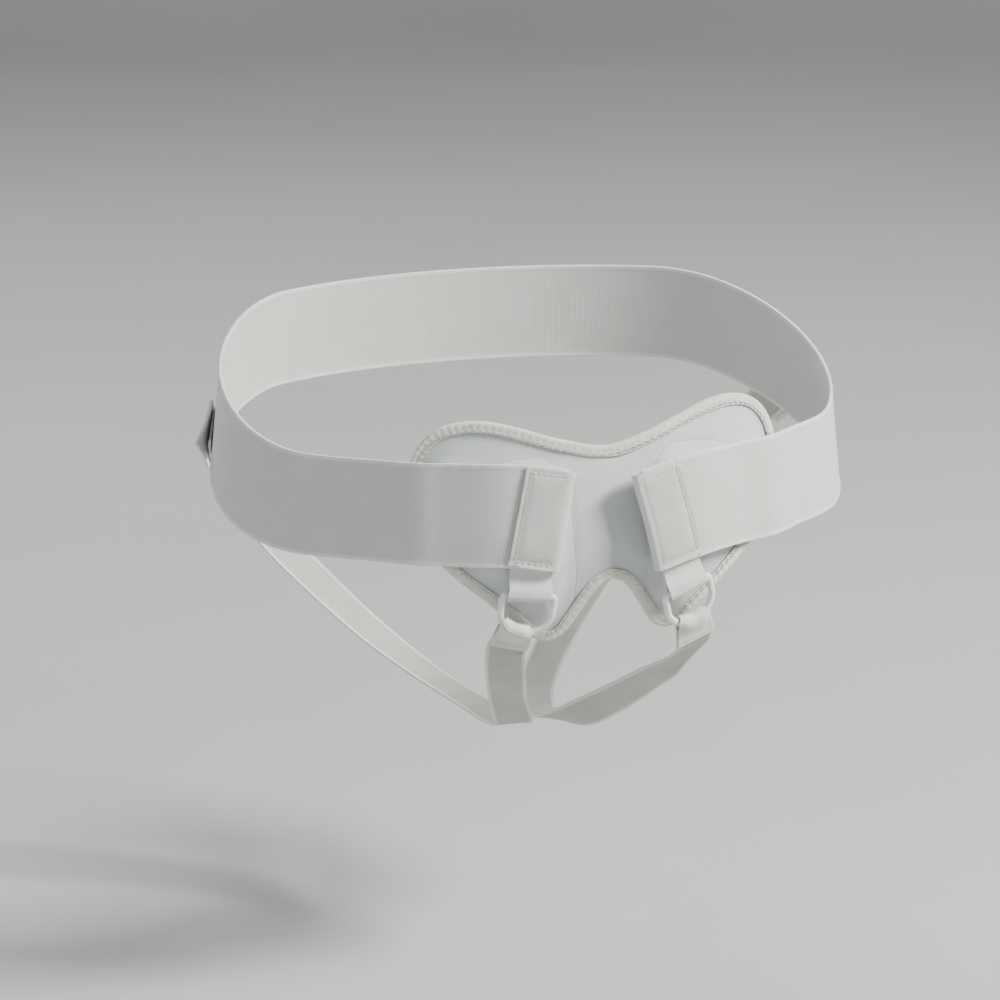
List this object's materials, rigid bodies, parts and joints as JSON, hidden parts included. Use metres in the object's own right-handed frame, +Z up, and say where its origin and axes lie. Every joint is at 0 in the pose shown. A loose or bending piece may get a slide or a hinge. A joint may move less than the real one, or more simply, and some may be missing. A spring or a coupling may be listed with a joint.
{
  "type": "hernia belt",
  "caption": "Worn hernia belt: elastic waist band on a padded, notched front panel, with two elastic leg straps hung from D-rings and fixed behind the hips.",
  "frame": {"origin": "middle of the hips, inside the band, where the wearer's body sits", "axes": "+Z up the wearer's body, -Y to the wearer's front, +X to the wearer's left"},
  "size_m": [0.3412, 0.2476, 0.2191],
  "materials": {
    "band_elastic": "ribbed woven elastic, warm light grey white",
    "panel_fabric": "smooth brushed fabric over foam, cool white",
    "binding_tape": "folded cream tape with a stitched edge",
    "tab_fabric": "soft brushed fabric",
    "webbing": "woven webbing",
    "ring_plastic": "moulded white plastic, satin",
    "strap_elastic": "ribbed elastic, warm white"
  },
  "bodies": {
    "root": {"waist_band": "band_elastic", "front_panel": "panel_fabric", "panel_binding": "binding_tape", "end_tab_right": "tab_fabric", "end_tab_left": "tab_fabric", "ring_loop_right": "webbing", "ring_loop_left": "webbing", "d_ring_right": "ring_plastic", "d_ring_left": "ring_plastic", "leg_strap_right": "strap_elastic", "leg_strap_left": "strap_elastic", "hip_tab_right": "tab_fabric", "hip_tab_left": "tab_fabric"}
  },
  "joints": []
}
